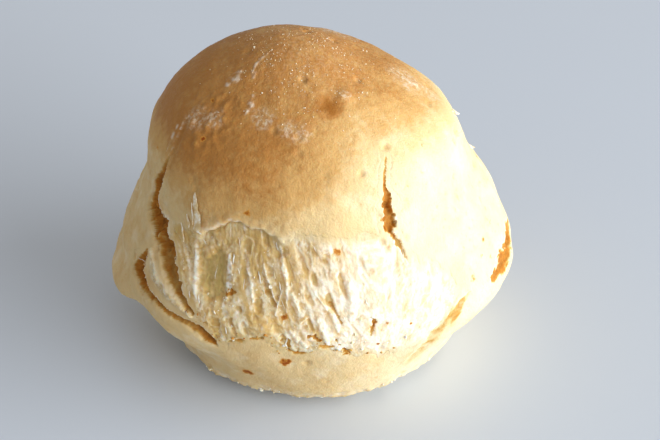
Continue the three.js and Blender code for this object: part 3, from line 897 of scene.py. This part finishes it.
def crumb_slab(name, tear, columns, rows):
    """A closed slab of crumb behind a tear, with a fine front."""
    left, right, low, high = tear["slab"]
    azimuths = np.linspace(left, right, columns)
    steps = np.linspace(*along_at([tear["middle"]] * 2, [low, high]), rows)
    at = on_dough(np.tile(azimuths, rows), np.repeat(steps, columns))
    mark(at)
    mark_crumb(at)
    tucked = CRUMB_TUCK * smooth(-at.cover, -0.6, 4.5) - CRUMB_PROUD * (1 - at.sharp)
    sunk = at.open + at.hole - 0.6 * at.sinew + at.crack_depth + at.hollow + tucked
    front = at.surface - at.outward * sunk[:, None]

    # Quads in front, a wall all round and a fan behind.
    corner = np.arange(rows * columns).reshape(rows, columns)
    quads = quads_between(corner[:, :-1], corner[:, 1:])
    loop = np.concatenate([corner[0, :-1], corner[:-1, -1], corner[-1, :0:-1], corner[:0:-1, 0]])
    wall = front[loop] - CRUMB_UNDER * at.outward[loop]
    under = rows * columns + np.arange(len(loop))
    middle = rows * columns + len(loop)
    ring = np.stack([np.roll(loop, -1), loop, under, np.roll(under, -1)], 1).tolist()
    fan = [(int(b), int(a), middle) for a, b in zip(under, np.roll(under, -1))]
    floats = (
        "torn", "fibrous", "pit", "rim", "recess", "rightward", "margin", "crack", "shade", "lip", "spot",
        "brown", "dust", "bits", "specks", "free",
    )
    points = np.vstack([front, wall, wall.mean(0)])
    return marked_mesh(name, points, quads + ring + fan, at, floats, ("strand", "grain"))


pulled = geometry_tree("pulled crumb", {
    "Cell width": "Float", "Cell length": "Float", "Cell depth": "Float", "Thread height": "Float",
    "Material": "Material",
})


def wander(place, size, reach):
    """Moves places by soft noise, so that what is drawn there isn't straight."""
    return pulled.vector("ADD", place, pulled.drift(place, 1 / size, reach))


def in_cells(place, share, seed, stretch=1.0):
    """Places counted in cells that have this share of the full width, and of the length times a stretch."""
    width = pulled.given("Cell width") * share
    length = pulled.given("Cell length") * (share * stretch)
    size = pulled.add("ShaderNodeCombineXYZ", {0: width, 1: length, 2: 1.0})
    return pulled.vector("ADD", pulled.vector("DIVIDE", place, size), (seed, seed, 0.0))


def cells(place, share, seed, open_share, stretch=1.0):
    """Long cells, some of them open: their height, how open they are, the wall round each, and a tone."""
    there = {"Vector": in_cells(place, share, seed, stretch), "Scale": 1.0}
    from_edge = pulled.add("ShaderNodeTexVoronoi", there, "Distance", feature="DISTANCE_TO_EDGE")
    dice = pulled.add("ShaderNodeTexVoronoi", there, "Color", feature="F1")
    chance, tone, level = pulled.add("ShaderNodeSeparateXYZ", {0: dice}, (0, 1, 2))
    opened = chance.ramp(open_share + 0.1, open_share)
    floor = level * 0.7 - 0.3 - opened
    thick = pulled.noise(place, 0.5).ramp(0.35, 0.65, 0.08, 0.3)
    wall = from_edge.ramp(thick, 0.0)
    return floor + (0.3 - floor) * wall, opened * (1.0 - wall), wall, tone


wavy = wander(wander(wander(pulled.attribute("strand", "FLOAT_VECTOR"), 6.0, 3.4), 1.6, 0.9), 0.5, 0.25)
wide_high, wide_open, wide_wall, tone = cells(wavy, 1.0, 0.0, 0.36)
small_high, small_open, small_wall, _ = cells(wavy, 0.46, 7.3, 0.36, 0.42)
tiny_high, *_ = cells(wavy, 0.2, 3.1, 0.3, 0.5)
high = tiny_high * 0.12 + (small_high * 0.75 + wide_high)
ripple = pulled.math("ABSOLUTE", pulled.noise(in_cells(wavy, 0.3, 2.1), 1.0, 1.0) - 0.5)
fibres = ripple.ramp(0.1, 0.0)
height = fibres * pulled.given("Thread height") + high * pulled.given("Cell depth")
fibrous = pulled.attribute("fibrous")
shown = fibrous ** 0.5
CRUMB_MARKS = {
    "cell": wide_open.most(small_open * 0.75),
    "wall": wide_wall.most(small_wall * 0.7),
    "fibre": fibres,
    "tone": tone,
}
marked = pulled.given("Geometry")
for title, field in CRUMB_MARKS.items():
    marked = store(pulled, marked, title, field * shown)
end_tree(pulled, push_out(pulled, marked, height * fibrous))

CRUMB_CREAM = (0.80, 0.67, 0.42, 1)
CRUMB_TAN = (0.66, 0.47, 0.20, 1)
# Cell and pocket tans are partly the crumb's own colour, partly painted shade in the hollows.
CELL_TAN = (0.64, 0.41, 0.13, 1)
POCKET_TAN_AND_SHADE = (0.53, 0.375, 0.13, 1)
# This brown is painted shade under the lip and a golden tone near the top of the tear.
LIP_SHADE_AND_GOLD_BROWN = (0.60, 0.39, 0.13, 1)

crumb_matter, nodes = material(
    "torn_crumb", Subsurface_Radius=(1.0, 0.7, 0.45), Subsurface_Scale=0.0025, Roughness=0.72,
    Specular_IOR_Level=0.25,
)
strand = nodes.add("ShaderNodeAttribute", None, "Vector", attribute_name="strand")
streaks = nodes.noise(nodes.vector("MULTIPLY", strand, (0.8, 0.14, 1.0)), 1.0, 4.0)
fine = nodes.speckle(0.0009)
rightward, pit, torn = (nodes.mask(name) for name in ("rightward", "pit", "torn"))
# Less tan is laid on the cells toward the lit right, part of the painted light there.
opened = nodes.mask("cell") * streaks.ramp(0.35, 0.65, 0.9, 0.4) * rightward.ramp(0.4, 0.8, 1.0, 0.55)
golds = nodes.speckle(0.0032, 4.0).ramp(0.44, 0.6, 0.0, 0.85) * rightward.ramp(0.4, 0.8, 1.0, 0.45)
hollowed = pit.shifted(fine, 0.8)
pocket = nodes.lay(POCKET_TAN_AND_SHADE, (streaks.shifted(fine, 0.6).ramp(0.38, 0.66, 0.0, 0.75), CRUMB_TAN))
white = (nodes.mask("wall") * 0.9).most(nodes.mask("fibre") * 0.35)
white = white * streaks.shifted(rightward, 0.2).ramp(0.4, 0.58, 0.08, 1.0) * pit.ramp(0.2, 0.9, 1.0, 0.1)
colour = nodes.lay(
    CRUMB_TAN,
    (nodes.mask("tone").shifted(streaks, 1.8).ramp(0.15, 1.0), CRUMB_CREAM),
    # Whiter toward the right, where the window light falls: painted light.
    (rightward.ramp(0.3, 0.65, 0.0, 0.85), TORN_WHITE),
    (rightward.ramp(0.7, 0.95, 0.0, 0.8), FLANK_WHITE),
    # Tan in the open cells: partly the crumb's own, partly painted shade.
    (opened, CELL_TAN),
    (golds, CELL_TAN),
    # Painted shade under the lip, with a golden tone near the top of the tear.
    (nodes.mask("recess") * streaks.ramp(0.35, 0.6, 0.4, 0.95), LIP_SHADE_AND_GOLD_BROWN),
    # Tan in the pits and the deep pocket: partly the crumb's own, partly painted shade.
    (hollowed.ramp(0.1, 0.8, 0.0, 0.85), CELL_TAN),
    (hollowed.ramp(0.5, 1.1), pocket),
    (white.most(nodes.mask("rim")) * fine.ramp(0.35, 0.6, 0.3, 1.0), TORN_WHITE),
)
skin_colour = nodes.add("ShaderNodeGroup", None, "Color", node_tree=baked_skin.tree)
colour = nodes.lay(pale_edges(nodes, skin_colour), (torn, colour))
nodes.feed(nodes.shader, {
    "Base Color": lay_burnt_and_shade(nodes, colour),
    "Subsurface Weight": torn.ramp(0.0, 1.0, 0.25, 0.7),
    "Normal": gritty(nodes, 0.6),
})

FINENESS = {"front": (448, 216), "back": (340, 170)}
PULL = {"Cell width": 1.9, "Cell length": 6, "Cell depth": 0.16 * MM, "Thread height": 0.09 * MM}
slabs = {}
for name, tear in TEARS.items():
    slab = crumb_slab("torn_crumb_" + name, tear, *FINENESS[name])
    grow(slab, relief, {**SKIN_RELIEF, "Material": crumb_matter})
    grow(slab, pulled, {**PULL, "Material": crumb_matter})
    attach(slab, "root")
    slabs[name] = slab

# The strands
# Threads of crumb that stayed whole when the side burst. They run down the tear, lie close to the crumb
# with their ends sunk in it, and are thickest in the middle.
BENDS_PER_METRE = 320.0


def random_value(nodes, low, high, seed, label=None):
    """A random number for each point, or for each label."""
    inputs = {2: low, 3: high, 8: seed}
    if label is not None:
        inputs[7] = label
    return nodes.add("FunctionNodeRandomValue", inputs, 1)


def random_vector(nodes, low, high, seed):
    inputs = {0: (low, low, low), 1: (high, high, high), 8: seed}
    return nodes.add("FunctionNodeRandomValue", inputs, data_type="FLOAT_VECTOR")


stretched = geometry_tree("stretched strands", {
    "Density": "Float", "Length": "Float", "Girth": "Float", "Lift": "Float", "Wander": "Float",
    "Seed": "Int", "Material": "Material",
})
crumb = stretched.given("Geometry")
density = stretched.attribute("fibrous") ** 3.0 * stretched.given("Density")
points, normal = stretched.add("GeometryNodeDistributePointsOnFaces", {
    0: crumb, "Density": density, "Seed": stretched.given("Seed"),
}, ("Points", "Normal"))
grain = stretched.attribute("grain", "FLOAT_VECTOR")
way = stretched.vector("ADD", grain, random_vector(stretched, -0.3, 0.3, 1))
axes = {"primary_axis": "Z", "secondary_axis": "Y"}
turn = stretched.add("FunctionNodeAxesToRotation", {0: normal, 1: way}, **axes)
length = stretched.given("Length") * random_value(stretched, 0.3, 1.3, 2)
length = stretched.math("MINIMUM", length, stretched.attribute("margin") * 1.7)
straight = stretched.add("GeometryNodeCurvePrimitiveLine", {0: (0.0, -0.5, 0.0), 1: (0.0, 0.5, 0.0)})
straight = stretched.add("GeometryNodeResampleCurve", {0: straight, "Count": 8})
laid = stretched.add("GeometryNodeInstanceOnPoints", {
    0: points, "Instance": straight, "Rotation": turn, "Scale": length,
})
laid = stretched.add("GeometryNodeRealizeInstances", {0: laid})
position = stretched.add("GeometryNodeInputPosition")
bend = stretched.drift(position, BENDS_PER_METRE, stretched.given("Wander"))
laid = stretched.add("GeometryNodeSetPosition", {0: laid, "Offset": bend})
touching = stretched.add("GeometryNodeProximity", {0: crumb, 2: position})
facing = stretched.add("GeometryNodeSampleNearestSurface", {
    0: crumb, 1: stretched.add("GeometryNodeInputNormal"), "Sample Position": position,
}, data_type="FLOAT_VECTOR")
arch = stretched.math("SINE", stretched.add("GeometryNodeSplineParameter") * math.pi)
lift = (arch - 0.35) * stretched.given("Lift")
lifted = stretched.vector("ADD", touching, stretched.vector("SCALE", facing, Scale=lift))
laid = stretched.add("GeometryNodeSetPosition", {0: laid, "Position": lifted})
label = stretched.add("GeometryNodeCurveOfPoint")
girth = stretched.given("Girth") * random_value(stretched, 0.35, 1.4, 3, label) * (arch * 0.8 + 0.2)
ring = stretched.add("GeometryNodeCurvePrimitiveCircle", {"Resolution": 4, "Radius": 1.0})
threads = stretched.add("GeometryNodeCurveToMesh", {0: laid, 1: ring, "Scale": girth, "Fill Caps": True})
end_tree(stretched, threads)


def speckled(name, colour, specks, size, low, high, **constants):
    """A material of one colour with specks of another."""
    made, nodes = material(name, **constants)
    share = nodes.speckle(size).ramp(low, high)
    nodes.feed(nodes.shader, {"Base Color": nodes.lay(colour, (share, specks))})
    return made


thread = speckled(
    "crumb_thread", CRUMB_CREAM, TORN_WHITE, 0.0025, 0.4, 0.62, Subsurface_Weight=0.35,
    Subsurface_Radius=(1.0, 0.6, 0.35), Subsurface_Scale=0.0015, Roughness=0.7, Specular_IOR_Level=0.25,
)


def scatter(name, nodes, ground, values):
    """A new piece that a tree grows on another."""
    piece = add_object(name, ground.data)
    grow(piece, nodes, values)
    piece.data.name = name
    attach(piece, "root")


for name, slab in slabs.items():
    scatter("crumb_strands_" + name, stretched, slab, {
        "Density": 0.5e5, "Length": 2.4 * MM, "Girth": 0.12 * MM, "Lift": 0.1 * MM, "Wander": 1.6 * MM,
        "Seed": 4, "Material": thread,
    })

# The flakes
# Slivers of dry skin that peeled off where it split or was rubbed. Each is thin, and curls away at one end.
# They are azimuth, height, half width and lift along each.
FLAKES = (
    ((-40.8, 44.2, 0.1, 0), (-39.8, 43.2, 0.45, 0.25), (-38.6, 41.4, 0.5, 0.4), (-37.6, 39.8, 0.9, 0.5),
     (-36.6, 38.6, 0.7, 0.9), (-36, 37.6, 0.2, 1.2)),
    ((-43.4, 39.8, 0.1, 0), (-42.6, 39.2, 0.25, 0.2), (-41.6, 38.5, 0.3, 0.3), (-40.9, 37.9, 0.1, 0.5)),
    ((-46, 37.6, 0.08, 0), (-44.4, 36.6, 0.22, 0.2), (-43.4, 35.6, 0.18, 0.35), (-42.9, 34.8, 0.08, 0.5)),
    ((-41.6, 42.3, 0.08, 0), (-40.9, 41.2, 0.16, 0.2), (-40, 39.8, 0.2, 0.3), (-39.5, 38.7, 0.08, 0.5)),
    ((94, 47, 0.2, 0), (96, 46.2, 0.5, 0.15), (97.5, 45.4, 0.4, 0.4), (98.5, 44.8, 0.1, 0.7)),
    ((96, 38.6, 0.2, 0), (97.5, 37.8, 0.45, 0.15), (98.5, 37.2, 0.3, 0.4), (99.2, 36.7, 0.1, 0.7)),
    ((-64, 25.8, 0.08, 0.1), (-61.5, 25.2, 0.1, 0.9), (-58, 24, 0.08, 0.2)),
    ((-61.5, 27, 0.08, 0.1), (-60.5, 25.6, 0.1, 0.8), (-59, 23.6, 0.08, 0.1)),
    ((160, 38.5, 0.2, 0), (163, 37.5, 0.5, 0.2), (165, 36, 0.3, 0.4), (166, 35, 0.1, 0.6)),
    ((-112, 46, 0.2, 0), (-110, 45, 0.5, 0.15), (-108, 43.6, 0.3, 0.4), (-107, 42.8, 0.1, 0.6)),
)
FLAKE_THICKNESS = 0.14
FLAKE_STEPS = 24
FLAKE_SIDES = 6
LOOK_FROM = 8
graph = bpy.context.evaluated_depsgraph_get()
ground = [BVHTree.FromObject(piece, graph) for piece in (biscuit, *slabs.values())]


def on_skin(points, ways):
    """The places where the finished skin or crumb lies under points of the smooth dough, in millimetres."""
    found = []
    for point, way in zip(points + SETTLE, ways):
        start = Vector((point + LOOK_FROM * way) * MM)
        hits = [tree.ray_cast(start, Vector(-way)) for tree in ground]
        found.append(min((hit for hit in hits if hit[0]), key=lambda hit: hit[3])[0])
    return np.array(found) / MM - SETTLE


def flake_shell(stops):
    """The points and faces of one flake, a closed strip with a flat round section."""
    path = curve(stops, np.linspace(0, 1, FLAKE_STEPS))
    at = on_dough(path[:, 0], along_at(path[:, 0], path[:, 1]))
    line = on_skin(at.surface, at.outward) + at.outward * path[:, 3:]
    side = np.cross(at.outward, np.gradient(line, axis=0))
    side /= np.linalg.norm(side, axis=1, keepdims=True)
    side *= path[:, 2:3] * (1 + 0.6 * humps(line, 0.7, 9)[:, None])
    thick = at.outward * FLAKE_THICKNESS / 2
    turns = np.arange(FLAKE_SIDES) * 2 * math.pi / FLAKE_SIDES
    ring = [line + side * math.cos(a) + thick * math.sin(a) for a in turns]
    corner = np.arange(FLAKE_STEPS * FLAKE_SIDES).reshape(FLAKE_STEPS, FLAKE_SIDES)
    faces = quads_between(corner, np.roll(corner, -1, 1))
    faces += [corner[0, ::-1].tolist(), corner[-1].tolist()]
    return np.stack(ring, 1).reshape(-1, 3), faces


dry_skin = speckled(
    "dry_skin", PALE_SKIN, TORN_WHITE, 0.001, 0.4, 0.7, Roughness=0.75, Specular_IOR_Level=0.25,
)
shells = [flake_shell(stops) for stops in FLAKES]
flake_points = np.vstack([points for points, faces in shells])
flake_faces = [
    [number * FLAKE_STEPS * FLAKE_SIDES + index for index in face]
    for number, (points, faces) in enumerate(shells) for face in faces
]
flakes = marked_mesh("skin_flakes", flake_points, flake_faces)
flakes.data.materials.append(dry_skin)
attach(flakes, "root")

# The flour and the crumbs
# Flour from the board still clings to the cap in specks, and crumbs lie in the tear, along its sill and
# round the foot. All are loose grains, pressed a little into what they lie on.
DENTS_PER_METRE = 2800.0
grains = geometry_tree("loose grains", {
    "Where": "String", "Density": "Float", "Size": "Float", "Unevenness": "Float", "Seed": "Int",
    "Material": "Material",
})
density = grains.attribute(grains.given("Where")) * grains.given("Density")
points = grains.add("GeometryNodeDistributePointsOnFaces", {
    0: grains.given("Geometry"), "Density": density, "Seed": grains.given("Seed"),
}, "Points")
few_large = random_value(grains, 0.0, 1.0, 11) ** 3.0
size = grains.given("Size") * (few_large * 0.75 + 0.25)
shape = grains.vector("SCALE", random_vector(grains, 0.3, 1.0, 13), Scale=size)
ball = grains.add("GeometryNodeMeshIcoSphere", {"Radius": 1.0, "Subdivisions": 1})
loose = grains.add("GeometryNodeInstanceOnPoints", {
    0: points, "Instance": ball, "Rotation": random_vector(grains, -math.pi, math.pi, 12), "Scale": shape,
})
loose = grains.add("GeometryNodeRealizeInstances", {0: loose})
dent = grains.drift(grains.add("GeometryNodeInputPosition"), DENTS_PER_METRE, grains.given("Unevenness"))
end_tree(grains, grains.add("GeometryNodeSetPosition", {0: loose, "Offset": dent}), rounded=False)

flour_dust = speckled(
    "flour_dust", PALE_SKIN, FLOUR_WHITE, 0.0015, 0.35, 0.6, Roughness=0.9, Specular_IOR_Level=0.2,
)
crust_chip = speckled(
    "crust_chip", CRACK_TAN, CRACK_BROWN, 0.0014, 0.4, 0.6, Roughness=0.7, Specular_IOR_Level=0.25,
)
scatter("flour_specks", grains, biscuit, {
    "Where": "flour", "Density": 6.0e6, "Size": 0.22 * MM, "Unevenness": 0.15 * MM, "Seed": 2,
    "Material": flour_dust,
})
scatter("rim_crumbs", grains, biscuit, {
    "Where": "rim_bits", "Density": 1.0e6, "Size": 0.6 * MM, "Unevenness": 0.5 * MM, "Seed": 6,
    "Material": thread,
})
for name, slab in slabs.items():
    scatter("crumb_bits_" + name, grains, slab, {
        "Where": "bits", "Density": 1.2e6, "Size": 0.5 * MM, "Unevenness": 0.6 * MM, "Seed": 8,
        "Material": thread,
    })
    scatter("crust_specks_" + name, grains, slab, {
        "Where": "specks", "Density": 1.6e6, "Size": 0.42 * MM, "Unevenness": 0.4 * MM, "Seed": 9,
        "Material": crust_chip,
    })

# The studio
# A plain pale table under soft daylight from the right, with a weak fill from all round.
HALF_FLOOR = 2.0
floor_mesh = bpy.data.meshes.new("floor")
floor_corners = [(x * HALF_FLOOR, y * HALF_FLOOR, 0) for x, y in ((-1, -1), (1, -1), (1, 1), (-1, 1))]
floor_mesh.from_pydata(floor_corners, [], [(0, 1, 2, 3)])
floor_mesh.materials.append(material("pale_table", Base_Color=(0.61, 0.67, 0.77, 1), Roughness=0.45)[0])
floor = add_object("floor", floor_mesh)

world = bpy.data.worlds.new("daylight")
world.use_nodes = True
sky = world.node_tree.nodes["Background"].inputs
sky["Color"].default_value = (1.0, 0.98, 0.94, 1)
sky["Strength"].default_value = 0.48
bpy.context.scene.world = world

WINDOW_PLACE = Vector((1.53, -0.61, 0.43))
WINDOW_TARGET = Vector((0, 0, 0.03))
window = bpy.data.lights.new("window", "AREA")
window.shape = "RECTANGLE"
window.size = 2.2
window.size_y = 0.82
window.energy = 59.0
window.color = (0.98, 1.0, 1.0)
lamp = add_object("window", window)
lamp.location = WINDOW_PLACE
lamp.rotation_euler = (WINDOW_TARGET - WINDOW_PLACE).to_track_quat("-Z", "Y").to_euler()

# The camera looks down at the torn front. Its focal length is in pixels of the picture's width.
CAMERA_ELEVATION = math.radians(34)
CAMERA_DISTANCE = 0.26
CAMERA_AIM = Vector((np.array([4.5, 0, 23.6]) + SETTLE) * MM)
SENSOR_WIDTH = 36
FOCAL_LENGTH = 1326
PICTURE_WIDTH = 660
camera_data = bpy.data.cameras.new("camera")
camera_data.sensor_width = SENSOR_WIDTH
camera_data.lens = SENSOR_WIDTH * FOCAL_LENGTH / PICTURE_WIDTH
camera_data.clip_start = 0.01
camera = add_object("camera", camera_data)
backward = Vector((0, -math.cos(CAMERA_ELEVATION), math.sin(CAMERA_ELEVATION)))
camera.location = CAMERA_AIM + CAMERA_DISTANCE * backward
camera.rotation_euler = (math.pi / 2 - CAMERA_ELEVATION, 0, 0)
bpy.context.scene.camera = camera
bpy.context.scene.view_settings.view_transform = "Standard"
